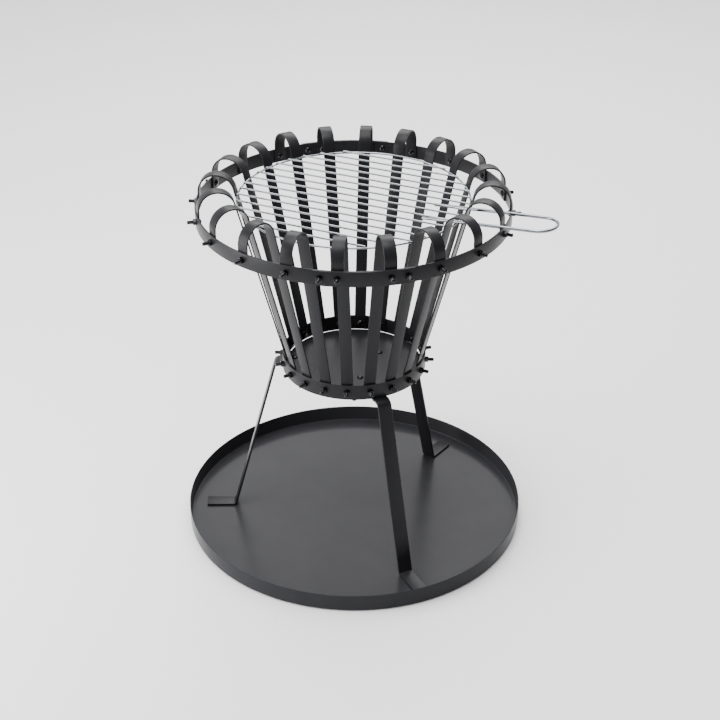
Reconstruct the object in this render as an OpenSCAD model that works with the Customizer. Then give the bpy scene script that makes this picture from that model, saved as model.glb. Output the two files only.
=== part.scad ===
// Fire pit with a lift-off cooking grate.
// A flared basket of curled steel slats stands on three bent legs in a round ash tray.
// +Z is up and the origin is the middle of the tray's underside.
// A round wire grate sits in the basket's mouth, with a long wire loop as its handle.

/* [Ash tray] */
// Outside diameter of the tray
tray_d = 480; // [400:5:600]
// Height of the tray's wall
tray_h = 25; // [12:1:45]
// Sheet thickness of the tray
tray_sheet = 1.2; // [0.8:0.1:2]
// Outside radius of the corner between floor and wall
tray_corner = 3; // [2.5:0.5:8]

/* [Hoops] */
// Outside diameter of the top hoop
top_hoop_d = 417; // [340:1:510]
// Height of the top hoop's lower edge
top_hoop_z = 472.5; // [390:0.5:570]
// Height of the top hoop's band
top_hoop_h = 20; // [16:1:26]
// Outside diameter of the bottom hoop
bottom_hoop_d = 198.8; // [160:0.2:240]
// Height of the bottom hoop's lower edge
bottom_hoop_z = 245.5; // [180:0.5:300]
// Height of the bottom hoop's band
bottom_hoop_h = 22; // [16:1:28]
// Thickness of both hoops
hoop_t = 2; // [1.5:0.1:3]

/* [Splices of the top hoop] */
// Thickness of a splice plate
splice_t = 2; // [1.5:0.1:3]
// Distance round the hoop from a slat's bolt to the splice's end bolt
splice_step = 21.3; // [16:0.1:24]
// Distance round the hoop from the end bolt to the plate's end
splice_end = 8.4; // [6:0.1:10]
// Gap between the two half hoops at the joint
splice_gap = 0.6; // [0.2:0.1:2]

/* [Slats] */
// Number of slats
slat_count = 20; // [12:2:26]
// Width of a slat
slat_w = 16; // [12:1:18]
// Thickness of a slat
slat_t = 2; // [1.5:0.1:3]
// Direction of the first slat
slat_start = 12.5; // [0:0.5:90]
// Height of the flare's bend above the bottom hoop
flare_rise = 0.5; // [0:0.5:10]
// Centreline radius of the flare's bend
flare_bend_r = 6; // [4:1:12]
// Centreline radius of the curl at the top
curl_r = 24; // [16:1:30]
// Height of the curl's centre above the top hoop
curl_rise = 6.7; // [3:0.1:15]
// Distance from a hoop's lower edge up to a slat's cut end
slat_inset = 1.5; // [0.5:0.5:3]

/* [Floor plate] */
// Thickness of the floor plate
floor_t = 1.5; // [1:0.1:3]
// Gap between the floor plate and the slats
floor_gap = 0.5; // [0.2:0.1:2]
// Width of each of the three tongues bent down from the floor plate
tongue_w = 5; // [4:0.5:10]
// Depth of a tongue below the floor plate
tongue_drop = 5; // [3:0.5:10]
// Direction of the first tongue
tongue_az = -90; // [-95:1:-85]

/* [Legs] */
// Directions in which the three legs point
leg_headings = [180.5, 298, 53]; // [0:0.5:360]
// Sideways distance from the basket's axis to each leg's middle
leg_offset = 13; // [6:1:18]
// Width of the leg's flat bar
leg_w = 20; // [16:1:25]
// Thickness of the leg's flat bar
leg_t = 3; // [2:0.5:4]
// Distance from the basket's axis to the tab's inner end
tab_start = 30; // [26:1:36]
// Distance from a tab's inner end, and from the floor plate's edge, to a bolt
tab_bolt_edge = 12; // [10:1:16]
// How far a tab shows outside the bottom hoop before it bends down
leg_shoulder = 10; // [7:1:20]
// Centreline radius of the bend at the top of a leg
leg_bend_r = 9; // [5:1:12]
// Centreline radius of the bend at the foot
foot_bend_r = 4; // [3:1:8]
// Length of the foot that lies on the tray
foot_len = 42; // [25:1:60]
// Gap between the foot's corner and the tray's wall
foot_margin = 21; // [8:1:40]

/* [Fasteners] */
// Diameter of every bolt
bolt_d = 5; // [4:0.5:6]
// How much wider a bolt's hole is than the bolt
bolt_clear = 0.5; // [0.2:0.1:1]
// Diameter of a bolt's round head
head_d = 9; // [8:0.5:12]
// Height of a bolt's head
head_h = 3; // [2:0.5:4]
// Width across the flats of a nut
nut_af = 8; // [7:0.5:10]
// Height of a nut
nut_h = 4; // [3:0.5:5]
// How much wider a nut's bore is than the bolt
nut_clear = 0.1; // [0.05:0.05:0.3]
// Length of thread that stands out of a nut
thread_out = 8; // [2:0.5:8]
// Length of the chamfer at a bolt's tip
tip_l = 0.9; // [0.5:0.1:1.2]

/* [Grate] */
// Height of the grate's ring above the top hoop
ring_rise = 4; // [2:0.5:6]
// Wire diameter of the ring and the bars
grate_wire = 2.5; // [2:0.1:4]
// Gap between the ring and the slats it drops between
grate_clear = 0.3; // [0.2:0.1:2]
// Spacing of the bars
bar_pitch = 19; // [15:0.5:23]
// Least distance between the last bar and the ring's edge
bar_edge = 12; // [8:1:18]
// How deep welded wires sink into each other
weld_bite = 0.25; // [0.1:0.05:0.5]

/* [Grate handle] */
// Wire diameter of the handle
handle_wire = 4.2; // [3:0.1:6]
// Number of the slat that the handle straddles, counting from the first
handle_slat = 18; // [0:1:25]
// Turn of the grate from that slat
grate_turn = -1; // [-3:0.5:3]
// How far the handle's end stands out from the top hoop
handle_out = 69.5; // [45:0.5:120]
// Slope of the handle
handle_tilt = 3.8; // [3:0.1:5]
// How far the handle's legs run in from the ring, welded to the bars beside them
handle_in = 46; // [30:1:60]

/* [Hidden] */
$fn = 96;
// Gap that keeps two touching curved faces of one body apart
seat = 0.05;
// Number of splices, tongues and facets on a nut
splice_count = 2;
tongue_count = 3;
nut_facets = 6;
// Length of the cylinder that drills a bolt hole
drill_l = 14;
// Turn of each flat in a bend of a bar
bend_facet = 6;
// Where the tools cut past a face
over = 1;

// Hoops
top_hoop_r = top_hoop_d / 2;
bottom_hoop_r = bottom_hoop_d / 2;
top_bolt_z = top_hoop_z + top_hoop_h / 2;
bottom_bolt_z = bottom_hoop_z + bottom_hoop_h / 2;
half_turn = 360 / splice_count;

// Slats: a flat bar touches a round hoop with its two edges
function chord_r(r) = sqrt(pow(r, 2) - pow(slat_w / 2, 2)) - seat;
slat_step = 360 / slat_count;
foot_face = chord_r(bottom_hoop_r - hoop_t);
tail_face = chord_r(top_hoop_r - hoop_t);
foot_r = foot_face - slat_t / 2;
tail_r = tail_face - slat_t / 2;
bend_z = bottom_hoop_z + bottom_hoop_h + flare_rise;
curl_z = top_hoop_z + top_hoop_h + curl_rise;
curl_x = tail_r - curl_r;
// The flare is the line from the bend that just touches the curl's circle
curl_dist = norm([curl_x - foot_r, curl_z - bend_z]);
flare = acos(curl_r / curl_dist) - atan2(curl_z - bend_z, curl_x - foot_r);
function flare_r(z) = foot_r + tan(flare) * (z - bend_z);

// Splices stand midway between two slats
splice_az = slat_start - slat_step * 5.5;
splice_bolt_turn = slat_step / 2 + arc_turn(splice_step);
splice_turn = splice_bolt_turn + arc_turn(splice_end);
function arc_turn(length) = length / top_hoop_r * 180 / PI;

// Floor plate and legs
floor_r = foot_face - slat_t - floor_gap;
tab_z = bottom_hoop_z - leg_t / 2;
foot_z = tray_sheet + leg_t / 2;
leg_top = bottom_hoop_r + leg_shoulder;
foot_tip = sqrt(pow(tray_d / 2 - tray_sheet - foot_margin, 2) - pow(leg_offset + leg_w / 2, 2));
leg_bottom = foot_tip - foot_len;
leg_slope = atan2(tab_z - foot_z, leg_bottom - leg_top);
tab_bolts = [tab_start + tab_bolt_edge, floor_r - tab_bolt_edge];

// Bolts
hole_d = bolt_d + bolt_clear;
slat_grip = slat_t + seat + hoop_t;
bolt_l = slat_grip + nut_h + thread_out;
nut_corner = nut_af / cos(180 / nut_facets);

// Grate
ring_z = top_hoop_z + top_hoop_h + ring_rise;
slat_inner = flare_r(ring_z) - slat_t / 2 / cos(flare);
ring_r = slat_inner - (grate_wire / 2 + grate_clear) / cos(flare);
bars_side = floor((ring_r - bar_edge) / bar_pitch);
bar_z = ring_z + grate_wire - weld_bite;
grate_az = slat_start + slat_step * handle_slat + grate_turn;
handle_half = bar_pitch + (grate_wire + handle_wire) / 2 - weld_bite;
handle_z = ring_z + (grate_wire + handle_wire) / 2 - weld_bite;
// The handle crosses the ring at handle_rest
handle_rest = sqrt(pow(ring_r, 2) - pow(handle_half, 2));
handle_run = (top_hoop_r + handle_out - handle_rest) / cos(handle_tilt) - handle_half;

black = "#2b2b2d";
sheet_grey = "#4b4c4e";
black_zinc = "#2c2c2e";
chrome = "#d9dcdf";

function slat_name(i) = str("slat_", i < 9 ? "0" : "", i + 1);
function slat_az(i) = slat_start + slat_step * i;
// Angle from a slat to the nearest splice, and whether the splice's plate covers its bolt
function splice_apart(i) = (abs(slat_az(i) - splice_az) + half_turn / 2) % half_turn - half_turn / 2;
function is_spliced(i) = abs(splice_apart(i)) < splice_turn;

// ---- Profiles -------------------------------------------------------------

// Half section of a dish: x from the axis, y up
module dish_section(r, base, corner, top) {
    translate([0, base + corner]) square([r, top - base - corner]);
    translate([0, base]) square([r - corner, corner + over]);
    translate([r - corner, base + corner]) circle(corner);
}

function turned(v, a) = [v[0] * cos(a) - v[1] * sin(a), v[0] * sin(a) + v[1] * cos(a)];

// Centreline of a bent bar from point p in direction a, as [point, direction] pairs.
// Each step is [length, bend radius, turn], and the last one has no bend.
function bent(p, a, steps, i = 0) =
    let(
        run_end = p + turned([steps[i][0], 0], a),
        turn = steps[i][2],
        to_centre = turned([0, sign(turn) * steps[i][1]], a),
        parts = ceil(abs(turn) / bend_facet)
    )
    i == len(steps) - 1
        ? [[p, a], [run_end, a]]
        : concat(
            [[p, a]],
            [for (k = [0 : parts - 1])
                [run_end + to_centre - turned(to_centre, turn * k / parts), a + turn * k / parts]],
            bent(run_end + to_centre - turned(to_centre, turn), a + turn, steps, i + 1)
        );

// A flat bar seen on edge, t thick, along a centreline
module bar_section(line, t) {
    last = len(line) - 1;
    polygon(concat(
        [for (k = [0 : last]) line[k][0] + turned([0, t / 2], line[k][1])],
        [for (k = [0 : last]) line[last - k][0] - turned([0, t / 2], line[last - k][1])]
    ));
}

// ---- Placing --------------------------------------------------------------

// Turns local +Z outwards, at distance r and height z in direction az
module radial(az, r, z) {
    rotate([0, 0, az]) translate([r, 0, z]) rotate([0, 90, 0]) children();
}

module drill() {
    cylinder(d = hole_d, h = drill_l, center = true);
}

// Carries a leg's parts from its own plane to its heading
module on_leg(heading) {
    rotate([0, 0, heading]) translate([0, -leg_offset, 0]) children();
}

module at_tab_bolts(z) {
    for (heading = leg_headings, s = tab_bolts)
        on_leg(heading) translate([s, 0, z]) children();
}

module on_grate() {
    rotate([0, 0, grate_az]) children();
}

// ---- Tray and basket ------------------------------------------------------

module ash_tray() {
    color(sheet_grey) rotate_extrude($fn = 180) difference() {
        dish_section(tray_d / 2, 0, tray_corner, tray_h);
        dish_section(tray_d / 2 - tray_sheet, tray_sheet, tray_corner - tray_sheet, tray_h + over);
    }
}

module floor_plate() {
    color(black) difference() {
        union() {
            translate([0, 0, bottom_hoop_z]) cylinder(r = floor_r, h = floor_t, $fn = 120);
            for (k = [0 : tongue_count - 1])
                rotate([0, 0, tongue_az + 360 / tongue_count * k])
                    translate([floor_r - floor_t * 1.5, -tongue_w / 2, bottom_hoop_z - tongue_drop])
                        cube([floor_t, tongue_w, tongue_drop + floor_t / 2]);
        }
        at_tab_bolts(bottom_hoop_z) drill();
    }
}

module hoop_band(r, t, h, turn) {
    rotate_extrude(angle = turn, $fn = 180) translate([r - t, 0]) square([t, h]);
}

module bottom_hoop() {
    color(black) difference() {
        translate([0, 0, bottom_hoop_z]) hoop_band(bottom_hoop_r, hoop_t, bottom_hoop_h, 360);
        for (i = [0 : slat_count - 1]) radial(slat_az(i), bottom_hoop_r, bottom_bolt_z) drill();
    }
}

module at_splice_bolts(r) {
    for (k = [0 : splice_count - 1], side = [-1, 1])
        radial(splice_az + half_turn * k + side * splice_bolt_turn, r, top_bolt_z) children();
}

// A half hoop from one joint round to the next
module top_half(start) {
    gap_turn = arc_turn(splice_gap);
    color(black) difference() {
        translate([0, 0, top_hoop_z])
            rotate([0, 0, start + gap_turn / 2])
                hoop_band(top_hoop_r, hoop_t, top_hoop_h, half_turn - gap_turn);
        for (i = [0 : slat_count - 1]) radial(slat_az(i), top_hoop_r, top_bolt_z) drill();
        at_splice_bolts(top_hoop_r) drill();
    }
}

// An outside plate that joins the half hoops
module splice(centre) {
    color(black) difference() {
        translate([0, 0, top_hoop_z])
            rotate([0, 0, centre - splice_turn])
                hoop_band(top_hoop_r + seat + splice_t, splice_t, top_hoop_h, splice_turn * 2);
        for (i = [0 : slat_count - 1]) radial(slat_az(i), top_hoop_r, top_bolt_z) drill();
        at_splice_bolts(top_hoop_r) drill();
    }
}

// Edge profile of a slat: foot, bend, flare, curl and tail, with X up and Y outwards
module slat_section() {
    cut = flare_bend_r * tan(flare / 2);
    start_z = bottom_hoop_z + slat_inset;
    flare_l = sqrt(pow(curl_dist, 2) - pow(curl_r, 2)) - cut;
    tail_l = curl_z - top_hoop_z - slat_inset;
    bar_section(bent([start_z, foot_r], 0, [
        [bend_z - cut - start_z, flare_bend_r, flare],
        [flare_l, curl_r, 180 - flare],
        [tail_l, 0, 0]
    ]), slat_t);
}

module slat(i) {
    color(black) rotate([0, 0, slat_az(i)]) difference() {
        rotate([0, -90, -90]) linear_extrude(height = slat_w, center = true) slat_section();
        radial(0, tail_r, top_bolt_z) drill();
        radial(0, foot_r, bottom_bolt_z) drill();
    }
}

// Edge profile of a leg: tab, shoulder bend, leg, foot bend and foot, with X outwards and Y up
module leg_section() {
    top_cut = leg_bend_r * tan(leg_slope / 2);
    foot_cut = foot_bend_r * tan(leg_slope / 2);
    leg_l = norm([leg_bottom - leg_top, tab_z - foot_z]) - top_cut - foot_cut;
    bar_section(bent([tab_start, tab_z], 0, [
        [leg_top - top_cut - tab_start, leg_bend_r, -leg_slope],
        [leg_l, foot_bend_r, leg_slope],
        [foot_len - foot_cut, 0, 0]
    ]), leg_t);
}

module leg(heading) {
    color(black) on_leg(heading) difference() {
        rotate([90, 0, 0]) linear_extrude(height = leg_w, center = true) leg_section();
        for (s = tab_bolts) translate([s, 0, tab_z]) drill();
    }
}

// ---- Bolts and nuts -------------------------------------------------------

// A round-headed bolt; its head sits on z = 0 and its thread points up
module bolt() {
    cap_r = (pow(head_d / 2, 2) + pow(head_h, 2)) / 2 / head_h;
    translate([0, 0, -seat]) intersection() {
        translate([0, 0, cap_r - head_h]) sphere(cap_r);
        translate([0, 0, -head_h]) cylinder(d = head_d, h = head_h);
    }
    translate([0, 0, -head_h / 2]) cylinder(d = bolt_d, h = bolt_l + head_h / 2 - tip_l);
    translate([0, 0, bolt_l - tip_l]) cylinder(d1 = bolt_d, d2 = bolt_d - tip_l * 2, h = tip_l);
}

// A hexagon nut with its corners turned off, standing on z = 0
module nut() {
    chamfer = (nut_corner - nut_af) / 2;
    difference() {
        intersection() {
            cylinder(d = nut_corner, h = nut_h, $fn = nut_facets);
            union() {
                cylinder(d = nut_corner + over, h = nut_h - chamfer);
                translate([0, 0, nut_h - chamfer])
                    cylinder(d1 = nut_corner, d2 = nut_af, h = chamfer);
            }
        }
        translate([0, 0, -over]) cylinder(d = bolt_d + nut_clear, h = nut_h + over * 2);
    }
}

module top_slat_bolts() {
    color(black_zinc) for (i = [0 : slat_count - 1]) radial(slat_az(i), tail_r - slat_t / 2, top_bolt_z) bolt();
}

module top_slat_nuts() {
    color(black_zinc) for (i = [0 : slat_count - 1])
        radial(slat_az(i), top_hoop_r + seat + (is_spliced(i) ? splice_t + seat : 0), top_bolt_z) nut();
}

module bottom_slat_bolts() {
    color(black_zinc) for (i = [0 : slat_count - 1])
        radial(slat_az(i), foot_r - slat_t / 2, bottom_bolt_z) bolt();
}

module bottom_slat_nuts() {
    color(black_zinc) for (i = [0 : slat_count - 1]) radial(slat_az(i), bottom_hoop_r + seat, bottom_bolt_z) nut();
}

module splice_bolts() {
    color(black_zinc) at_splice_bolts(top_hoop_r - hoop_t - seat * 2) bolt();
}

module splice_nuts() {
    color(black_zinc) at_splice_bolts(top_hoop_r + seat + splice_t + seat) nut();
}

module leg_bolts() {
    color(black_zinc) at_tab_bolts(bottom_hoop_z + floor_t) rotate([180, 0, 0]) bolt();
}

module leg_nuts() {
    color(black_zinc) at_tab_bolts(bottom_hoop_z - leg_t) rotate([180, 0, 0]) nut();
}

// ---- Grate ----------------------------------------------------------------

module grate_ring() {
    color(chrome) translate([0, 0, ring_z])
        rotate_extrude($fn = 180) translate([ring_r, 0]) circle(d = grate_wire, $fn = 32);
}

// A round wire along +X through [0, y, z], ending on the ring at both ends
module ring_chord(y, z) {
    half = sqrt(pow(ring_r, 2) - pow(y, 2));
    translate([-half, y, z]) rotate([0, 90, 0]) cylinder(d = grate_wire, h = half * 2, $fn = 32);
}

module grate_bars() {
    color(chrome) on_grate()
        for (k = [-bars_side : bars_side]) ring_chord(k * bar_pitch, bar_z);
}

// A U of wire that slopes up from between the bars, over the ring and out past the basket
module grate_handle() {
    color(chrome) on_grate() translate([handle_rest, 0, handle_z]) rotate([0, -handle_tilt, 0]) {
        for (side = [-1, 1])
            translate([-handle_in, side * handle_half, 0]) rotate([0, 90, 0])
                cylinder(d = handle_wire, h = handle_in + handle_run);
        translate([handle_run, 0, 0]) rotate([0, 0, -90]) rotate_extrude(angle = 180)
            translate([handle_half, 0]) circle(d = handle_wire);
    }
}

ash_tray();
floor_plate();
bottom_hoop();
top_half(splice_az);  // top_hoop_right
top_half(splice_az + half_turn);  // top_hoop_left
splice(splice_az);  // splice_front
splice(splice_az + half_turn);  // splice_back
for (i = [0 : slat_count - 1]) slat(i);
leg(leg_headings[0]);  // leg_left
leg(leg_headings[1]);  // leg_front
leg(leg_headings[2]);  // leg_back
top_slat_bolts();
top_slat_nuts();
bottom_slat_bolts();
bottom_slat_nuts();
splice_bolts();
splice_nuts();
leg_bolts();
leg_nuts();
grate_ring();
grate_bars();
grate_handle();
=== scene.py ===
import math

import bmesh
import bpy
from bpy.props import FloatProperty, FloatVectorProperty, IntProperty, PointerProperty
from mathutils import Matrix, Vector


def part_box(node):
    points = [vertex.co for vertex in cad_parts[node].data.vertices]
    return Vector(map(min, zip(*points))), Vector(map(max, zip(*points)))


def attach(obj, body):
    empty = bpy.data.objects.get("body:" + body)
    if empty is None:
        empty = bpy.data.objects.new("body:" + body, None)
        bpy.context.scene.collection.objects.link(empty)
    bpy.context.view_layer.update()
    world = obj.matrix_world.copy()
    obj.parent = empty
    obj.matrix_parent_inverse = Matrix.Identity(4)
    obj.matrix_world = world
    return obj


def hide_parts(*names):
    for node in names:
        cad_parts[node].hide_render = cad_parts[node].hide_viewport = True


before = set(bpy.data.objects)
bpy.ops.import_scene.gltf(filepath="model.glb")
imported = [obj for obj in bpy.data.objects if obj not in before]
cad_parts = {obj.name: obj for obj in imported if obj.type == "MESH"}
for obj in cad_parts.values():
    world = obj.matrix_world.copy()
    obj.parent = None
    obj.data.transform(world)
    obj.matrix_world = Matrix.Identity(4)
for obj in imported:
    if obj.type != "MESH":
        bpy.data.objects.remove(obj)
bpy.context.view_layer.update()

bl_info = {
    "name": "Fire pit with grate",
    "version": (1, 0, 0),
    "blender": (4, 5, 0),
    "location": "3D Viewport > Sidebar > Fire Pit",
    "description": "Builds a slatted fire basket on legs, its ash tray and its wire cooking grate",
    "category": "Add Mesh",
}

MM = 0.001
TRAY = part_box("ash_tray")
TOP_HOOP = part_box("top_hoop_right")
BOTTOM_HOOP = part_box("bottom_hoop")
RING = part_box("grate_ring")

SPLICES = 2
TONGUES = 3
SPLICE_STEPS_BACK = 5.5  # slat steps from the first slat back to the front splice

# How finely round shapes are cut
LATHE_STEPS = 192
LOOP_STEPS = 48
WIRE_SIDES = 16
NUT_SIDES = 48
CORNER_STEPS = 6
LIP_STEPS = 8
HEAD_SIDES = 24
DOME_STEPS = 6
THREAD_SIDES = 20
THREAD_ROWS = 5  # rows in each pitch
BEND_STEP = math.radians(3)
SOFT_EDGE = math.radians(35)  # flatter edges than this shade smoothly


def hex_colour(code):
    """An sRGB hex colour such as "#2b2b2d" as linear red, green and blue."""
    values = [int(code[i:i + 2], 16) / 255 for i in (1, 3, 5)]
    return tuple(v / 12.92 if v <= 0.04045 else ((v + 0.055) / 1.055) ** 2.4 for v in values)


def length(name, description, mm):
    """A length in the panel, given here in millimetres."""
    return FloatProperty(name=name, description=description, default=mm * MM, min=0,
                         unit="LENGTH", subtype="DISTANCE", precision=5)


def angle(name, description, degrees):
    """An angle in the panel, given here in degrees."""
    return FloatProperty(name=name, description=description, default=math.radians(degrees),
                         unit="ROTATION", subtype="ANGLE")


def colour(name, description, code):
    """A colour in the panel, given here as sRGB hex."""
    return FloatVectorProperty(name=name, description=description, default=hex_colour(code),
                               min=0, max=1, subtype="COLOR")


class FirePitSizes(bpy.types.PropertyGroup):
    """Sizes of the fire pit's pieces"""
    tray_sheet: length("Tray sheet", "Sheet thickness of the ash tray", 1.2)
    tray_corner: length("Tray corner", "Outside radius between the tray's floor and wall", 3)
    hoop_t: length("Hoop thickness", "Thickness of both hoops", 2)
    splice_t: length("Splice thickness", "Thickness of a splice plate", 2)
    splice_step: length("Splice step", "Distance from a slat's bolt to the splice's end bolt", 21.3)
    splice_end: length("Splice end", "Distance from the end bolt to the plate's end", 8.4)
    splice_gap: length("Splice gap", "Gap between the half hoops at the joint", 0.6)
    slat_count: IntProperty(name="Slats", description="Number of slats", default=20, min=12, max=26)
    slat_w: length("Slat width", "Width of a slat", 16)
    slat_t: length("Slat thickness", "Thickness of a slat", 2)
    slat_start: angle("First slat", "Direction of the first slat", 12.5)
    flare_rise: length("Flare rise", "Height of the flare's bend above the bottom hoop", 0.5)
    flare_bend: length("Flare bend", "Centreline radius of the flare's bend", 6)
    curl_r: length("Curl radius", "Centreline radius of the curl at the top", 24)
    curl_rise: length("Curl rise", "Height of the curl's centre above the top hoop", 6.7)
    slat_inset: length("Slat inset", "Distance from a hoop's lower edge up to a slat's end", 1.5)
    floor_t: length("Floor thickness", "Thickness of the floor plate", 1.5)
    floor_gap: length("Floor gap", "Gap between the floor plate and the slats", 0.5)
    tongue_w: length("Tongue width", "Width of a tongue bent down from the floor plate", 5)
    tongue_drop: length("Tongue drop", "Depth of a tongue below the floor plate", 5)
    tongue_az: angle("Tongue direction", "Direction of the first tongue", -90)
    leg_headings: FloatVectorProperty(
        name="Leg headings", description="Directions in which the three legs point",
        subtype="EULER", default=[math.radians(heading) for heading in (180.5, 298, 53)])
    leg_offset: length("Leg offset", "Sideways distance from the basket's axis to a leg", 13)
    leg_w: length("Leg width", "Width of a leg's flat bar", 20)
    leg_t: length("Leg thickness", "Thickness of a leg's flat bar", 3)
    tab_start: length("Tab start", "Distance from the basket's axis to a tab's inner end", 30)
    tab_bolt_edge: length("Tab bolt edge", "Distance from a tab's or floor's edge to a bolt", 12)
    leg_shoulder: length("Leg shoulder", "How far a tab shows outside the bottom hoop", 10)
    leg_bend: length("Leg bend", "Centreline radius of the bend at the top of a leg", 9)
    foot_bend: length("Foot bend", "Centreline radius of the bend at the foot", 4)
    foot_len: length("Foot length", "Length of the foot on the tray", 42)
    foot_margin: length("Foot margin", "Gap between the foot's corner and the tray's wall", 21)
    bolt_d: length("Bolt", "Diameter of every bolt", 5)
    thread_pitch: length("Thread pitch", "Pitch of the bolts' thread", 0.8)
    thread_out: length("Thread out", "Length of thread that stands out of a nut", 8)
    tip_l: length("Bolt tip", "Length of the chamfer at a bolt's tip", 0.9)
    head_d: length("Bolt head", "Diameter of a bolt's round head", 9)
    head_h: length("Head height", "Height of a bolt's head", 3)
    nut_af: length("Nut", "Width across the flats of a nut", 8)
    nut_h: length("Nut height", "Height of a nut", 4)
    bar_wire: length("Grate wire", "Wire diameter of the ring and the bars", 2.5)
    bar_pitch: length("Bar pitch", "Spacing of the bars", 19)
    bar_edge: length("Bar edge", "Least distance between the last bar and the ring's edge", 12)
    weld_bite: length("Weld bite", "How deep welded wires sink into each other", 0.25)
    handle_wire: length("Handle wire", "Wire diameter of the handle", 4.2)
    handle_in: length("Handle inner run", "How far the handle's legs run in from the ring", 46)
    handle_out: length("Handle reach", "How far the handle stands out from the top hoop", 69.5)
    handle_tilt: angle("Handle tilt", "Slope of the handle", 3.8)
    handle_slat: IntProperty(
        name="Handle slat", description="Number of the slat that the handle straddles",
        default=18, min=0, max=25)
    grate_turn: angle("Grate turn", "Turn of the grate from that slat", -1)
    edge: length("Edge round", "Radius of the rolled edges of flat bar", 0.45)
    seat: length("Seat", "Gap between two curved faces that touch", 0.05)


class FirePitColours(bpy.types.PropertyGroup):
    """Colours of the fire pit's finishes"""
    coat: colour("Powder coat", "Black powder coat of the basket and legs", "#18181a")
    coat_worn: colour("Powder coat, light", "Lighter cast of the powder coat", "#202023")
    tray: colour("Tray paint", "Stove paint of the ash tray", "#262628")
    tray_dust: colour("Tray dust", "Pale cast on the tray's paint", "#2f2f32")
    zinc: colour("Black zinc", "Black zinc plating of bolts and nuts", "#38383b")
    zinc_dull: colour("Black zinc, dull", "Duller patches of the black zinc", "#232325")
    chrome: colour("Chrome plate", "Chrome plating of the grate's wires", "#94979b")
    chrome_dull: colour("Chrome plate, dull", "Duller patches of the chrome", "#76797d")
    ground: colour("Ground", "Pale floor under the fire pit", "#f4f4f4")


# ---- Shapes ----------------------------------------------------------------

def settings():
    """The scene's fire pit sizes."""
    return bpy.context.scene.fire_pit_sizes


def polar(r, turn, z=0.0):
    """A point at a distance and a direction from the Z axis."""
    return Vector((r * math.cos(turn), r * math.sin(turn), z))


def turned(vector, turn):
    """A flat vector turned by an angle."""
    return Vector((vector[0] * math.cos(turn) - vector[1] * math.sin(turn),
                   vector[0] * math.sin(turn) + vector[1] * math.cos(turn)))


def quarter_points(centre, radius, start, steps=3):
    """Points of a quarter circle, from angle start onwards."""
    turns = [start + math.pi / 2 * k / steps for k in range(steps + 1)]
    return [(centre[0] + radius * math.cos(turn), centre[1] + radius * math.sin(turn))
            for turn in turns]


def rounded_section(width, height, radius):
    """Outline of a rectangle with rounded corners about the origin."""
    x, y = width / 2 - radius, height / 2 - radius
    corners = [(x, y), (-x, y), (-x, -y), (x, -y)]
    return [point for i, corner in enumerate(corners)
            for point in quarter_points(corner, radius, math.pi / 2 * i)]


def loft(bm, rings, closed=False):
    """Skins a list of rings of points, and caps both ends unless it closes on itself."""
    rows = [[bm.verts.new(p) for p in ring] for ring in rings]
    count = len(rows[0])
    pairs = list(zip(rows, rows[1:])) + ([(rows[-1], rows[0])] if closed else [])
    for a, b in pairs:
        for i in range(count):
            j = (i + 1) % count
            bm.faces.new((a[i], a[j], b[j], b[i]))
    if not closed:
        bm.faces.new(rows[0])
        bm.faces.new(rows[-1])


def lathe(bm, profile, steps):
    """Turns a profile of (radius, height) about +Z. A radius of 0 becomes one pole."""
    rows = []
    for r, z in profile:
        if r == 0:
            rows.append([bm.verts.new((0, 0, z))] * steps)
        else:
            rows.append([bm.verts.new(polar(r, math.tau * k / steps, z)) for k in range(steps)])
    for a, b in zip(rows, rows[1:]):
        for i in range(steps):
            j = (i + 1) % steps
            corners = []
            for vertex in (a[i], a[j], b[j], b[i]):
                if vertex not in corners:
                    corners.append(vertex)
            if len(corners) > 2:
                bm.faces.new(corners)


def finish_mesh(bm, name, sharp=SOFT_EDGE):
    """Turns a bmesh into a piece whose faces point outwards."""
    bmesh.ops.recalc_face_normals(bm, faces=bm.faces)
    mesh = bpy.data.meshes.new(name)
    bm.to_mesh(mesh)
    bm.free()
    return place_mesh(mesh, name, sharp)


def place_mesh(mesh, name, sharp=SOFT_EDGE):
    """Adds a mesh to the scene, with edges flatter than sharp shaded smoothly."""
    mesh.shade_smooth()
    mesh.set_sharp_from_angle(angle=sharp)
    piece = bpy.data.objects.new(name, mesh)
    bpy.context.scene.collection.objects.link(piece)
    return piece


def bent_line(start, heading, steps):
    """Centreline of a bent bar as (point, direction) pairs.

    Each step is (length, bend radius, turn)."""
    line, point = [(Vector(start), heading)], Vector(start)
    for run, radius, turn in steps:
        point = point + turned((run, 0), heading)
        line.append((point, heading))
        if turn:
            to_centre = turned((0, math.copysign(radius, turn)), heading)
            parts = math.ceil(abs(turn) / BEND_STEP)
            for k in range(1, parts + 1):
                line.append((point + to_centre - turned(to_centre, turn * k / parts),
                             heading + turn * k / parts))
            point, heading = line[-1]
    return line


def eased_ends(line, edge):
    """The line as (point, direction, inset), with short steps that round a bar's cut ends."""
    def step(point, heading, way, share):
        inset = edge * (1 - math.sqrt(1 - share ** 2))
        return point + turned((way * edge * (1 - share), 0), heading), heading, inset

    return ([step(*line[0], 1, share) for share in (1, 0.5, 0)]
            + [(point, heading, 0) for point, heading in line[1:-1]]
            + [step(*line[-1], -1, share) for share in (0, 0.5, 1)])


def loft_bar(bm, line, width, thickness, edge, to_space):
    """A flat bar along a flat centreline. to_space turns (along, up, across) into a point."""
    rings = []
    for point, heading, inset in eased_ends(line, edge):
        # The corners shrink a little less than the section, so they never close to a point
        corner = 0.98 * edge - 0.9 * inset
        section = rounded_section(thickness - 2 * inset, width - 2 * inset, corner)
        ring = []
        for u, v in section:
            flat = point + turned((0, u), heading)
            ring.append(to_space(flat[0], flat[1], v))
        rings.append(ring)
    loft(bm, rings)


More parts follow.
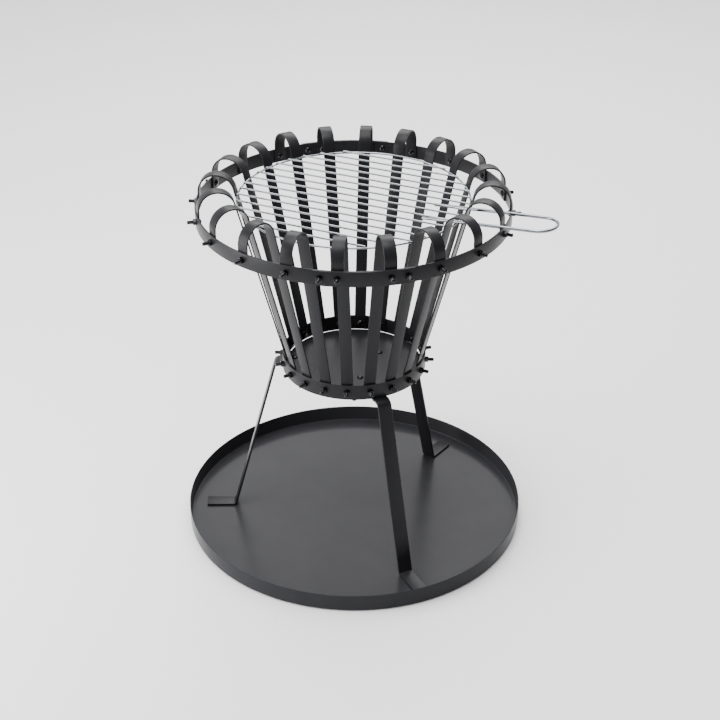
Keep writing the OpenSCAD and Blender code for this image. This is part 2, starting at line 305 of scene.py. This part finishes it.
def loft_band(bm, r_out, thickness, low, high, start, turn, edge):
    """A hoop's flat band on edge, round part or all of a circle."""
    whole = turn >= math.tau
    steps = max(8, math.ceil(turn / math.tau * LATHE_STEPS))
    middle = (low + high) / 2
    section = rounded_section(thickness, high - low, edge)
    rings = [[polar(r_out - thickness / 2 + u, start + turn * k / steps, middle + v)
              for u, v in section] for k in range(steps if whole else steps + 1)]
    loft(bm, rings, closed=whole)


def loft_wire(bm, points, diameter, closed=False):
    """A round wire along points in space, with eased ends."""
    points = [Vector(p) for p in points]
    radius = diameter / 2
    count = len(points)
    stations = []
    for i, point in enumerate(points):
        ahead = points[(i + 1) % count] if closed or i < count - 1 else point
        behind = points[i - 1] if closed or i > 0 else point
        stations.append((point, (ahead - behind).normalized(), radius))
    if not closed:
        (first, a, _), (last, b, _) = stations[0], stations[-1]
        ease = radius * 0.4
        eases = [(0, 1), (0.4, 0.3), (1, 0)]  # shares of the ease: along the wire, off the radius
        head = [(first + a * ease * along, a, radius - ease * off) for along, off in eases]
        tail = [(last - b * ease * along, b, radius - ease * off) for along, off in eases[::-1]]
        stations = head + stations[1:-1] + tail
    side = stations[0][1].orthogonal().normalized()
    rings = []
    for point, along, r in stations:
        side = (side - along * side.dot(along)).normalized()
        across = along.cross(side)
        rings.append([point + (side * math.cos(math.tau * k / WIRE_SIDES)
                               + across * math.sin(math.tau * k / WIRE_SIDES)) * r
                      for k in range(WIRE_SIDES)])
    loft(bm, rings, closed=closed)


# ---- Geometry Nodes ---------------------------------------------------------

def add_node(tree, kind, inputs=None, **values):
    """Adds one node, sets its values, and sets or links its inputs by name or number."""
    node = tree.nodes.new(kind)
    for key, value in values.items():
        setattr(node, key, value)
    for key, value in (inputs or {}).items():
        socket = node.inputs[key]
        if isinstance(value, bpy.types.NodeSocket):
            tree.links.new(value, socket)
        else:
            socket.default_value = value
    return node


def geometry_tree(name, inputs):
    """An empty Geometry Nodes tree with named inputs, and its input and output nodes."""
    tree = bpy.data.node_groups.new(name, "GeometryNodeTree")
    tree.interface.new_socket("Geometry", in_out="INPUT", socket_type="NodeSocketGeometry")
    for label, kind in inputs:
        tree.interface.new_socket(label, in_out="INPUT", socket_type=kind)
    tree.interface.new_socket("Geometry", in_out="OUTPUT", socket_type="NodeSocketGeometry")
    return tree, tree.nodes.new("NodeGroupInput"), tree.nodes.new("NodeGroupOutput")


def finish_tree(tree, geometry, material, output):
    """Ends a tree in Realize Instances and Set Material."""
    real = add_node(tree, "GeometryNodeRealizeInstances", {"Geometry": geometry})
    painted = add_node(tree, "GeometryNodeSetMaterial", {
        "Geometry": real.outputs[0], "Material": material})
    tree.links.new(painted.outputs[0], output.inputs[0])
    return tree


def scatter_tree():
    """Sets a copy of one piece on every point, turned by the point's facing."""
    tree, source, output = geometry_tree("Fire pit scatter", [
        ("Piece", "NodeSocketObject"), ("Material", "NodeSocketMaterial")])
    piece = add_node(tree, "GeometryNodeObjectInfo", {"Object": source.outputs["Piece"]})
    facing = add_node(tree, "GeometryNodeInputNamedAttribute", {"Name": "facing"},
                      data_type="FLOAT_VECTOR")
    turn = add_node(tree, "FunctionNodeEulerToRotation", {0: facing.outputs[0]})
    copies = add_node(tree, "GeometryNodeInstanceOnPoints", {
        "Points": source.outputs[0], "Instance": piece.outputs["Geometry"],
        "Rotation": turn.outputs[0]})
    return finish_tree(tree, copies.outputs[0], source.outputs["Material"], output)


def wire_tree():
    """Gives every edge of a mesh a round wire."""
    tree, source, output = geometry_tree("Fire pit wires", [
        ("Diameter", "NodeSocketFloat"), ("Sides", "NodeSocketInt"),
        ("Material", "NodeSocketMaterial")])
    line = add_node(tree, "GeometryNodeMeshToCurve", {"Mesh": source.outputs[0]})
    radius = add_node(tree, "ShaderNodeMath", {0: source.outputs["Diameter"], 1: 0.5},
                      operation="MULTIPLY")
    circle = add_node(tree, "GeometryNodeCurvePrimitiveCircle", {
        "Resolution": source.outputs["Sides"], "Radius": radius.outputs[0]})
    wire = add_node(tree, "GeometryNodeCurveToMesh", {
        "Curve": line.outputs[0], "Profile Curve": circle.outputs[0], "Fill Caps": True})
    return finish_tree(tree, wire.outputs[0], source.outputs["Material"], output)


def run_tree(tree, name, mesh, values):
    """Runs a tree on a mesh and keeps the plain mesh that comes out."""
    carrier = place_mesh(mesh, name + "_points")
    modifier = carrier.modifiers.new("Build", "NODES")
    modifier.node_group = tree
    for item in tree.interface.items_tree:
        if item.in_out == "INPUT" and item.name in values:
            modifier[item.identifier] = values[item.name]
    graph = bpy.context.evaluated_depsgraph_get()
    result = bpy.data.meshes.new_from_object(carrier.evaluated_get(graph), depsgraph=graph)
    result.name = name
    carrier.modifiers.remove(modifier)
    bpy.data.objects.remove(carrier)
    return place_mesh(result, name)


def scatter(name, master, places, material):
    """Copies a master piece to places, a list of (point, facing), and removes the master."""
    mesh = bpy.data.meshes.new(name + "_points")
    mesh.from_pydata([tuple(point) for point, _ in places], [], [])
    facing = mesh.attributes.new("facing", "FLOAT_VECTOR", "POINT")
    facing.data.foreach_set("vector", [value for _, turn in places for value in turn])
    piece = run_tree(scatter_tree(), name, mesh, {"Piece": master, "Material": material})
    bpy.data.objects.remove(master)
    return piece


# ---- Materials --------------------------------------------------------------

def new_material(name):
    """A new material and its Principled shader."""
    material = bpy.data.materials.new(name)
    material.use_nodes = True
    return material, material.node_tree.nodes["Principled BSDF"]


def grains_per_metre(size_mm):
    """Noise scale that gives features of a real size in millimetres."""
    return 1 / (size_mm * MM)


def wear(tree, shader, tint, gloss, bump):
    """Links a finish's colour, gloss and bump nodes to its shader."""
    tree.links.new(tint.outputs[2], shader.inputs["Base Color"])
    tree.links.new(gloss.outputs["Result"], shader.inputs["Roughness"])
    tree.links.new(bump.outputs["Normal"], shader.inputs["Normal"])


def spray_coat(name, base, light, roughness, specular, peel_mm):
    """A sprayed and baked coat: orange peel in the bump, and a slow drift in colour and gloss."""
    material, shader = new_material(name)
    tree = material.node_tree
    drift_mm = 60
    where = add_node(tree, "ShaderNodeTexCoord").outputs["Object"]
    drift = add_node(tree, "ShaderNodeTexNoise", {
        "Vector": where, "Scale": grains_per_metre(drift_mm), "Detail": 3.0, "Roughness": 0.55})
    fine = add_node(tree, "ShaderNodeTexNoise", {
        "Vector": where, "Scale": grains_per_metre(peel_mm), "Detail": 2.0, "Roughness": 0.5})
    tint = add_node(tree, "ShaderNodeMix", {
        0: drift.outputs["Fac"], 6: (*base, 1), 7: (*light, 1)}, data_type="RGBA")
    gloss = add_node(tree, "ShaderNodeMapRange", {
        "Value": fine.outputs["Fac"], "To Min": roughness - 0.04, "To Max": roughness + 0.05})
    bump = add_node(tree, "ShaderNodeBump", {
        "Height": fine.outputs["Fac"], "Strength": 0.16, "Distance": 0.05 * MM})
    wear(tree, shader, tint, gloss, bump)
    shader.inputs["Specular IOR Level"].default_value = specular
    return material


def plated(name, bright, dull, roughness, patch_mm):
    """A plated metal: even gloss with duller patches and a fine drawn grain."""
    material, shader = new_material(name)
    tree = material.node_tree
    grain_mm = 0.7
    where = add_node(tree, "ShaderNodeTexCoord").outputs["Object"]
    patches = add_node(tree, "ShaderNodeTexNoise", {
        "Vector": where, "Scale": grains_per_metre(patch_mm), "Detail": 3.0, "Roughness": 0.6})
    grain = add_node(tree, "ShaderNodeTexNoise", {
        "Vector": where, "Scale": grains_per_metre(grain_mm), "Detail": 2.0})
    tint = add_node(tree, "ShaderNodeMix", {
        0: patches.outputs["Fac"], 6: (*bright, 1), 7: (*dull, 1)}, data_type="RGBA")
    gloss = add_node(tree, "ShaderNodeMapRange", {
        "Value": patches.outputs["Fac"], "To Min": roughness * 0.7, "To Max": roughness * 1.4})
    bump = add_node(tree, "ShaderNodeBump", {
        "Height": grain.outputs["Fac"], "Strength": 0.08, "Distance": 0.03 * MM})
    wear(tree, shader, tint, gloss, bump)
    shader.inputs["Metallic"].default_value = 1.0
    return material


def stove_paint(name, colours):
    """Stove paint on pressed sheet steel: flatter than the basket's coat, with a dusty cast."""
    return spray_coat(name, colours.tray, colours.tray_dust,
                      roughness=0.24, specular=0.08, peel_mm=1.2)


def black_powder_coat(name, colours):
    """Powder coat sprayed dry on mild steel and baked: satin, near black, faint orange peel."""
    return spray_coat(name, colours.coat, colours.coat_worn,
                      roughness=0.36, specular=0.15, peel_mm=0.9)


def zinc_plate(name, colours):
    """Black-passivated zinc on cold-formed steel: near black, but it still glints like metal."""
    return plated(name, colours.zinc, colours.zinc_dull, roughness=0.22, patch_mm=3.0)


def chrome_plate(name, colours):
    """Chrome plating on drawn steel wire: bright, with a little haze."""
    return plated(name, colours.chrome, colours.chrome_dull, roughness=0.11, patch_mm=8.0)


# The finish in each material slot
FINISHES = {
    "tray_sheet": ("Stove-painted sheet steel", stove_paint),
    "black_steel": ("Black powder-coated steel", black_powder_coat),
    "fastener_black": ("Black zinc-plated steel", zinc_plate),
    "chrome_wire": ("Chrome-plated steel wire", chrome_plate),
}


def finish_of(slot):
    """The one material that a slot's pieces share, made when it is first asked for."""
    name, make = FINISHES[slot]
    return bpy.data.materials.get(name) or make(name, bpy.context.scene.fire_pit_colours)


def hand_over(piece, body, slot, *nodes):
    """Gives a piece its body and, unless it has one already, the finish of its material slot, and
    hides the CAD nodes it stands for.
    """
    if not piece.data.materials:
        piece.data.materials.append(finish_of(slot))
    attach(piece, body)
    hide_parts(*nodes)


# ---- Layout shared by several pieces ----------------------------------------

class Layout:
    """Places worked out from the sizes and the frame."""

    def __init__(self):
        s = settings()
        self.tray_r, self.tray_h = TRAY[1].x, TRAY[1].z
        self.top_r, self.low_r = TOP_HOOP[1].x, BOTTOM_HOOP[1].x
        self.top_low, self.top_high = TOP_HOOP[0].z, TOP_HOOP[1].z
        self.low_low, self.low_high = BOTTOM_HOOP[0].z, BOTTOM_HOOP[1].z
        self.top_bolt_z = (self.top_low + self.top_high) / 2
        self.low_bolt_z = (self.low_low + self.low_high) / 2
        # Slats
        self.step = math.tau / s.slat_count
        self.foot_face = self.chord(self.low_r - s.hoop_t)
        self.tail_face = self.chord(self.top_r - s.hoop_t)
        self.foot_r = self.foot_face - s.slat_t / 2
        self.tail_r = self.tail_face - s.slat_t / 2
        self.bend_z = self.low_high + s.flare_rise
        self.curl_z = self.top_high + s.curl_rise
        to_curl = Vector((self.tail_r - s.curl_r - self.foot_r, self.curl_z - self.bend_z))
        self.curl_dist = to_curl.length
        self.flare = math.acos(s.curl_r / self.curl_dist) - math.atan2(to_curl.y, to_curl.x)
        # Splices
        self.splice_az = s.slat_start - self.step * SPLICE_STEPS_BACK
        self.splice_bolt = self.step / 2 + s.splice_step / self.top_r
        self.splice_turn = self.splice_bolt + s.splice_end / self.top_r
        # Floor and legs
        self.floor_r = self.foot_face - s.slat_t - s.floor_gap
        self.tab_bolts = (s.tab_start + s.tab_bolt_edge, self.floor_r - s.tab_bolt_edge)
        # Grate
        self.ring_z = (RING[0].z + RING[1].z) / 2
        self.ring_r = RING[1].x - s.bar_wire / 2
        self.bar_z = self.ring_z + s.bar_wire - s.weld_bite
        self.grate_az = s.slat_start + self.step * s.handle_slat + s.grate_turn
        self.bars_side = int((self.ring_r - s.bar_edge) / s.bar_pitch)

    @staticmethod
    def chord(r):
        """Distance of a slat's face from the axis, where its two edges touch a hoop."""
        s = settings()
        return math.sqrt(r ** 2 - (s.slat_w / 2) ** 2) - s.seat

    def slat_az(self, i):
        """Direction of a slat, counted from 0."""
        return settings().slat_start + self.step * i

    def is_spliced(self, i):
        """Whether a slat's bolt also goes through a splice plate."""
        apart = (abs(self.slat_az(i) - self.splice_az) + math.pi / SPLICES) % (math.tau / SPLICES)
        return abs(apart - math.pi / SPLICES) < self.splice_turn

    def splice_bolts(self):
        """Directions of the bolts at the splice plates' ends."""
        return [self.splice_az + math.tau / SPLICES * k + side * self.splice_bolt
                for k in range(SPLICES) for side in (-1, 1)]

    def on_leg(self, heading, along, across, z):
        """A point in a leg's own plane, along its heading and across it."""
        return Matrix.Rotation(heading, 3, "Z") @ Vector((along, across - settings().leg_offset, z))

    def on_grate(self, along, across, z):
        """A point on the grate, along its bars and across them."""
        return Matrix.Rotation(self.grate_az, 3, "Z") @ Vector((along, across, z))


# ---- Fasteners ----------------------------------------------------------------

def bolt_master():
    """A round-headed bolt along +Z with a cut thread. Its head sits on the origin."""
    s = settings()
    head_r, cheek, chamfer, depth = s.head_d / 2, 0.25 * MM, 0.1 * MM, 0.3 * MM
    grip = s.slat_t + s.seat + s.hoop_t
    shank = grip + s.nut_h + s.thread_out
    bm = bmesh.new()
    cap_r = (head_r ** 2 + s.head_h ** 2) / 2 / s.head_h
    slopes = [math.asin(head_r / cap_r) * k / DOME_STEPS for k in range(1, DOME_STEPS)]
    dome = [(cap_r * math.sin(slope), cap_r - s.head_h - cap_r * math.cos(slope))
            for slope in slopes]
    lathe(bm, [(0, -s.head_h), *dome, (head_r, -cheek), (head_r - chamfer, 0), (0, 0)], HEAD_SIDES)
    turns = [math.tau * k / THREAD_SIDES for k in range(THREAD_SIDES)]
    rows = [[polar(s.bolt_d / 2 - depth, turn, z) for turn in turns] for z in (-s.head_h / 2, 0)]
    # The thread is a grid whose radius rises and falls once in each pitch
    count = int((shank - grip) / s.thread_pitch * THREAD_ROWS)
    for row in range(count + 1):
        z = grip + (shank - grip) * row / count
        tip = max(0.0, (z - shank + s.tip_l) / s.tip_l)
        outer = s.bolt_d / 2 * math.sqrt(1 - 0.75 * tip ** 2)  # half as wide at the very tip
        ring = []
        for k, turn in enumerate(turns):
            wave = (z / s.thread_pitch - k / THREAD_SIDES) % 1
            ring.append(polar(outer - depth * abs(2 * wave - 1), turn, z))
        rows.append(ring)
    loft(bm, rows)
    return finish_mesh(bm, "bolt_master", sharp=math.radians(50))


def nut_master():
    """A hexagon nut standing on the origin, its outer corners turned off at 30 degrees."""
    s = settings()
    bore, bore_edge, foot_edge = s.bolt_d / 2 + 0.05 * MM, 0.35 * MM, 0.15 * MM
    top_r = s.nut_af / 2 * 0.97
    flat = math.tau / 6

    def section(turn):
        """The nut's section in a direction, as (radius, height)."""
        side = s.nut_af / 2 / math.cos(turn % flat - flat / 2)
        return [(bore, 0), (side - foot_edge, 0), (side, foot_edge),
                (side, s.nut_h - (side - top_r) * math.tan(math.radians(30))), (top_r, s.nut_h),
                (bore + bore_edge, s.nut_h), (bore, s.nut_h - bore_edge)]

    turns = [math.tau * k / NUT_SIDES for k in range(NUT_SIDES)]
    sections = [[polar(r, turn, z) for r, z in section(turn)] for turn in turns]
    bm = bmesh.new()
    loft(bm, zip(*sections), closed=True)
    return finish_mesh(bm, "nut_master", sharp=math.radians(28))


def outward(turn):
    """Facing that turns a fastener's +Z outwards in a direction."""
    return (0, math.pi / 2, turn)


def downward(turn):
    """Facing that turns a fastener's +Z down, with its X axis in a direction."""
    return (math.pi, 0, turn)


class FIREPIT_OT_fasteners(bpy.types.Operator):
    """Adds every bolt and nut of the basket"""
    bl_idname = "firepit.fasteners"
    bl_label = "Bolts and nuts"

    def execute(self, context):
        s, at = settings(), Layout()
        slats = [at.slat_az(i) for i in range(s.slat_count)]
        ends = at.splice_bolts()
        plate = s.splice_t + s.seat

        def around(r, z, turns):
            """Places in a ring, facing outwards."""
            return [(polar(r, turn, z), outward(turn)) for turn in turns]

        def on_tabs(z):
            """Places on the legs' tabs, facing down."""
            return [(at.on_leg(heading, along, 0, z), downward(heading))
                    for heading in s.leg_headings for along in at.tab_bolts]

        bolts = {
            "top_slat_bolts": around(at.tail_r - s.slat_t / 2, at.top_bolt_z, slats),
            "bottom_slat_bolts": around(at.foot_r - s.slat_t / 2, at.low_bolt_z, slats),
            "splice_bolts": around(at.top_r - s.hoop_t - s.seat * 2, at.top_bolt_z, ends),
            "leg_bolts": on_tabs(at.low_low + s.floor_t),
        }
        nuts = {
            "top_slat_nuts": [
                (polar(at.top_r + s.seat + plate * at.is_spliced(i), turn, at.top_bolt_z),
                 outward(turn)) for i, turn in enumerate(slats)],
            "bottom_slat_nuts": around(at.low_r + s.seat, at.low_bolt_z, slats),
            "splice_nuts": around(at.top_r + s.seat + plate, at.top_bolt_z, ends),
            "leg_nuts": on_tabs(at.low_low - s.leg_t),
        }
        for master, groups in ((bolt_master, bolts), (nut_master, nuts)):
            for node, places in groups.items():
                piece = scatter(node + "_fine", master(), places, finish_of("fastener_black"))
                hand_over(piece, "basket", "fastener_black", node)
        return {"FINISHED"}


# ---- Tray, floor, hoops, slats and legs ---------------------------------------

class FIREPIT_OT_ash_tray(bpy.types.Operator):
    """Adds the shallow round ash tray that the basket stands in"""
    bl_idname = "firepit.ash_tray"
    bl_label = "Ash tray"

    def execute(self, context):
        s, at = settings(), Layout()
        r, t, corner, h = at.tray_r, s.tray_sheet, s.tray_corner, at.tray_h
        lip = t / 2
        outside = quarter_points((r - corner, corner), corner, -math.pi / 2, CORNER_STEPS)
        rim = [(r - lip + lip * math.cos(k), h - lip + lip * math.sin(k))
               for k in (math.pi * i / LIP_STEPS for i in range(LIP_STEPS + 1))]
        inner = corner - t
        inside = quarter_points((r - t - inner, t + inner), inner, -math.pi / 2, CORNER_STEPS)
        bm = bmesh.new()
        lathe(bm, [(0, 0), *outside, *rim, *inside[::-1], (0, t)], LATHE_STEPS)
        piece = finish_mesh(bm, "ash_tray_fine")
        hand_over(piece, "tray", "tray_sheet", "ash_tray")
        return {"FINISHED"}


class FIREPIT_OT_floor_plate(bpy.types.Operator):
    """Adds the basket's round floor plate with its bent tongues"""
    bl_idname = "firepit.floor_plate"
    bl_label = "Floor plate"

    def execute(self, context):
        s, at = settings(), Layout()
        bm = bmesh.new()
        r, edge = at.floor_r, 0.3 * MM
        low, high = at.low_low, at.low_low + s.floor_t
        lathe(bm, [(0, low), (r - edge, low), (r, low + edge), (r, high - edge), (r - edge, high),
                   (0, high)], LATHE_STEPS)
        line = bent_line((low - s.tongue_drop, r - s.floor_t), 0,
                         [(s.tongue_drop + s.floor_t / 2, 0, 0)])
        for k in range(TONGUES):
            facing = Matrix.Rotation(s.tongue_az + math.tau / TONGUES * k, 3, "Z")
            loft_bar(bm, line, s.tongue_w, s.floor_t, edge,
                     lambda along, up, across: facing @ Vector((up, across, along)))
        piece = finish_mesh(bm, "floor_plate_fine")
        hand_over(piece, "basket", "black_steel", "floor_plate")
        return {"FINISHED"}


class FIREPIT_OT_hoops(bpy.types.Operator):
    """Adds the bottom hoop, the two halves of the top hoop and the plates that join them"""
    bl_idname = "firepit.hoops"
    bl_label = "Hoops and splices"

    def execute(self, context):
        s, at = settings(), Layout()
        half = math.tau / SPLICES
        gap = s.splice_gap / at.top_r
        top = (at.top_low, at.top_high)
        bands = {
            "bottom_hoop": (at.low_r, s.hoop_t, at.low_low, at.low_high, 0, math.tau),
            "top_hoop_right": (at.top_r, s.hoop_t, *top, at.splice_az + gap / 2, half - gap),
            "top_hoop_left": (at.top_r, s.hoop_t, *top, at.splice_az + half + gap / 2, half - gap),
        }
        for k, node in enumerate(("splice_front", "splice_back")):
            bands[node] = (at.top_r + s.seat + s.splice_t, s.splice_t, *top,
                           at.splice_az + half * k - at.splice_turn, at.splice_turn * 2)
        for node, (r, t, low, high, start, turn) in bands.items():
            bm = bmesh.new()
            loft_band(bm, r, t, low, high, start, turn, s.edge)
            piece = finish_mesh(bm, node + "_fine")
            hand_over(piece, "basket", "black_steel", node)
        return {"FINISHED"}


class FIREPIT_OT_slats(bpy.types.Operator):
    """Adds the ring of flared slats, each curled over at its top"""
    bl_idname = "firepit.slats"
    bl_label = "Slats"

    def execute(self, context):
        s, at = settings(), Layout()
        cut = s.flare_bend * math.tan(at.flare / 2)
        start = at.low_low + s.slat_inset
        flare_l = math.sqrt(at.curl_dist ** 2 - s.curl_r ** 2) - cut
        line = bent_line((start, at.foot_r), 0, [
            (at.bend_z - cut - start, s.flare_bend, at.flare),
            (flare_l, s.curl_r, math.pi - at.flare),
            (at.curl_z - at.top_low - s.slat_inset, 0, 0),
        ])
        bm = bmesh.new()
        loft_bar(bm, line, s.slat_w, s.slat_t, s.edge,
                 lambda along, up, across: Vector((up, across, along)))
        master = finish_mesh(bm, "slat_master")
        places = [((0, 0, 0), (0, 0, at.slat_az(i))) for i in range(s.slat_count)]
        piece = scatter("slats_fine", master, places, finish_of("black_steel"))
        nodes = [f"slat_{i + 1:02d}" for i in range(s.slat_count)]
        hand_over(piece, "basket", "black_steel", *nodes)
        return {"FINISHED"}


class FIREPIT_OT_legs(bpy.types.Operator):
    """Adds the three bent flat-bar legs"""
    bl_idname = "firepit.legs"
    bl_label = "Legs"

    def execute(self, context):
        s, at = settings(), Layout()
        tab_z = at.low_low - s.leg_t / 2
        foot_z = s.tray_sheet + s.leg_t / 2
        top = at.low_r + s.leg_shoulder
        tip = math.sqrt((at.tray_r - s.tray_sheet - s.foot_margin) ** 2
                        - (s.leg_offset + s.leg_w / 2) ** 2)
        drop = Vector((tip - s.foot_len - top, tab_z - foot_z))
        slope = math.atan2(drop.y, drop.x)
        top_cut, foot_cut = (r * math.tan(slope / 2) for r in (s.leg_bend, s.foot_bend))
        line = bent_line((s.tab_start, tab_z), 0, [
            (top - top_cut - s.tab_start, s.leg_bend, -slope),
            (drop.length - top_cut - foot_cut, s.foot_bend, slope),
            (s.foot_len - foot_cut, 0, 0),
        ])
        for node, heading in zip(("leg_left", "leg_front", "leg_back"), s.leg_headings):
            bm = bmesh.new()
            loft_bar(bm, line, s.leg_w, s.leg_t, s.edge,
                     lambda along, up, across: at.on_leg(heading, along, across, up))
            piece = finish_mesh(bm, node + "_fine")
            hand_over(piece, "basket", "black_steel", node)
        return {"FINISHED"}


# ---- Grate ----------------------------------------------------------------------

def weld_master():
    """A small bead of weld at a crossing of two wires."""
    radius, spread = settings().bar_wire * 0.52, (1.15, 1.15, 0.62)
    bm = bmesh.new()
    bmesh.ops.create_icosphere(bm, subdivisions=2, radius=radius)
    bmesh.ops.scale(bm, vec=spread, verts=bm.verts)
    return finish_mesh(bm, "weld_master")


class FIREPIT_OT_grate(bpy.types.Operator):
    """Adds the grate's ring, its bars and the weld beads between them"""
    bl_idname = "firepit.grate"
    bl_label = "Grate"

    def execute(self, context):
        s, at = settings(), Layout()
        chrome = finish_of("chrome_wire")
        bm = bmesh.new()
        ring = [polar(at.ring_r, math.tau * k / LATHE_STEPS, at.ring_z)
                for k in range(LATHE_STEPS)]
        loft_wire(bm, ring, s.bar_wire, closed=True)
        piece = finish_mesh(bm, "grate_ring_fine")
        hand_over(piece, "grate", "chrome_wire", "grate_ring")

        bars = [k * s.bar_pitch for k in range(-at.bars_side, at.bars_side + 1)]
        ends = [at.on_grate(end * math.sqrt(at.ring_r ** 2 - y ** 2), y, at.bar_z)
                for y in bars for end in (-1, 1)]
        mesh = bpy.data.meshes.new("grate_bars_lines")
        mesh.from_pydata([tuple(end) for end in ends],
                         [(2 * i, 2 * i + 1) for i in range(len(bars))], [])
        piece = run_tree(wire_tree(), "grate_bars_fine", mesh, {
            "Diameter": s.bar_wire, "Sides": WIRE_SIDES, "Material": chrome})
        hand_over(piece, "grate", "chrome_wire", "grate_bars")

        level = Vector((0, 0, (at.bar_z - at.ring_z) / 2))
        beads = [(end - level, (0, 0, at.grate_az)) for end in ends]
        piece = scatter("grate_welds", weld_master(), beads, chrome)
        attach(piece, "grate")
        return {"FINISHED"}


class FIREPIT_OT_handle(bpy.types.Operator):
    """Adds the grate's long wire loop handle"""
    bl_idname = "firepit.handle"
    bl_label = "Grate handle"

    def execute(self, context):
        s, at = settings(), Layout()
        half = s.bar_pitch + (s.bar_wire + s.handle_wire) / 2 - s.weld_bite
        height = at.ring_z + (s.bar_wire + s.handle_wire) / 2 - s.weld_bite
        rest = math.sqrt(at.ring_r ** 2 - half ** 2)
        run_out = (at.top_r + s.handle_out - rest) / math.cos(s.handle_tilt) - half

        def point(along, across):
            """A point in the handle's sloping plane, measured from the grate's ring."""
            return at.on_grate(rest + along * math.cos(s.handle_tilt), across,
                               height + along * math.sin(s.handle_tilt))

        turns = [-math.pi / 2 + math.pi * k / LOOP_STEPS for k in range(LOOP_STEPS + 1)]
        loop = [point(run_out + half * math.cos(turn), half * math.sin(turn)) for turn in turns]
        bm = bmesh.new()
        loft_wire(bm, [point(-s.handle_in, -half), *loop, point(-s.handle_in, half)], s.handle_wire)
        piece = finish_mesh(bm, "grate_handle_fine")
        hand_over(piece, "grate", "chrome_wire", "grate_handle")
        return {"FINISHED"}


# ---- Stage ------------------------------------------------------------------------

def soft_light(name, place, target, size, power):
    """A rectangular area light aimed at a point, and out of the camera's sight."""
    lamp = bpy.data.lights.new(name, "AREA")
    lamp.shape = "RECTANGLE"
    lamp.size, lamp.size_y = size
    lamp.energy = power
    holder = bpy.data.objects.new(name, lamp)
    holder.location = place
    holder.rotation_euler = (Vector(target) - Vector(place)).to_track_quat("-Z", "Y").to_euler()
    holder.visible_camera = False
    bpy.context.scene.collection.objects.link(holder)


class FIREPIT_OT_stage(bpy.types.Operator):
    """Adds the pale floor, the soft studio light and the camera"""
    bl_idname = "firepit.stage"
    bl_label = "Stage"

    def execute(self, context):
        scene = context.scene
        floor_reach, floor_drop = 6, 0.5 * MM
        bm = bmesh.new()
        bmesh.ops.create_grid(bm, x_segments=1, y_segments=1, size=floor_reach)
        ground = finish_mesh(bm, "ground")
        ground.location.z = -floor_drop
        material, shader = new_material("Pale studio floor")
        shader.inputs["Base Color"].default_value = (*scene.fire_pit_colours.ground, 1)
        shader.inputs["Roughness"].default_value = 0.9
        shader.inputs["Specular IOR Level"].default_value = 0.1
        ground.data.materials.append(material)

        # The studio is bright behind, above and to the left, and dark in front and to the right
        world = bpy.data.worlds.new("Studio")
        world.use_nodes = True
        air = world.node_tree
        way = add_node(air, "ShaderNodeTexCoord").outputs["Generated"]
        lean = add_node(air, "ShaderNodeVectorMath", {0: way, 1: (-0.45, 0.75, 0.48)},
                        operation="DOT_PRODUCT")
        glow = add_node(air, "ShaderNodeMapRange", {
            "Value": lean.outputs["Value"], "From Min": -0.6, "From Max": 1.0,
            "To Min": 0.15, "To Max": 1.5})
        background = air.nodes["Background"]
        air.links.new(glow.outputs["Result"], background.inputs["Strength"])
        background.inputs["Color"].default_value = (1, 1, 1, 1)
        scene.world = world
        middle = (0, 0, 0.3)
        soft_light("back", (0.3, 2.0, 2.4), middle, (2.4, 1.6), 80)
        soft_light("top", (-0.3, -0.2, 2.8), middle, (1.8, 1.8), 85)
        soft_light("side", (-1.5, -0.5, 0.62), (0, 0, 0.45), (1.1, 1.2), 36)

        lens = bpy.data.cameras.new("camera")
        lens.sensor_width = 36
        lens.lens = 76.2
        camera = bpy.data.objects.new("camera", lens)
        camera.location = (0, -1.8367, 1.3154)
        camera.rotation_euler = (math.radians(59.877), 0, -0.0045)
        scene.collection.objects.link(camera)
        scene.camera = camera
        return {"FINISHED"}


class FIREPIT_PT_panel(bpy.types.Panel):
    """Lists the fire pit's pieces, sizes and colours"""
    bl_idname = "FIREPIT_PT_panel"
    bl_label = "Fire Pit"
    bl_space_type = "VIEW_3D"
    bl_region_type = "UI"
    bl_category = "Fire Pit"

    def draw(self, context):
        for operator in OPERATORS:
            self.layout.operator(operator.bl_idname)
        for group in (context.scene.fire_pit_sizes, context.scene.fire_pit_colours):
            for name in group.__annotations__:
                self.layout.prop(group, name)


OPERATORS = (
    FIREPIT_OT_ash_tray, FIREPIT_OT_floor_plate, FIREPIT_OT_hoops, FIREPIT_OT_slats,
    FIREPIT_OT_legs, FIREPIT_OT_fasteners, FIREPIT_OT_grate, FIREPIT_OT_handle, FIREPIT_OT_stage,
)
CLASSES = (FirePitSizes, FirePitColours, *OPERATORS, FIREPIT_PT_panel)


def register():
    for cls in CLASSES:
        bpy.utils.register_class(cls)
    bpy.types.Scene.fire_pit_sizes = PointerProperty(type=FirePitSizes)
    bpy.types.Scene.fire_pit_colours = PointerProperty(type=FirePitColours)


def unregister():
    del bpy.types.Scene.fire_pit_colours
    del bpy.types.Scene.fire_pit_sizes
    for cls in reversed(CLASSES):
        bpy.utils.unregister_class(cls)


def main():
    register()
    for operator in OPERATORS:
        group, name = operator.bl_idname.split(".")
        getattr(getattr(bpy.ops, group), name)()


if __name__ == "__main__":
    main()
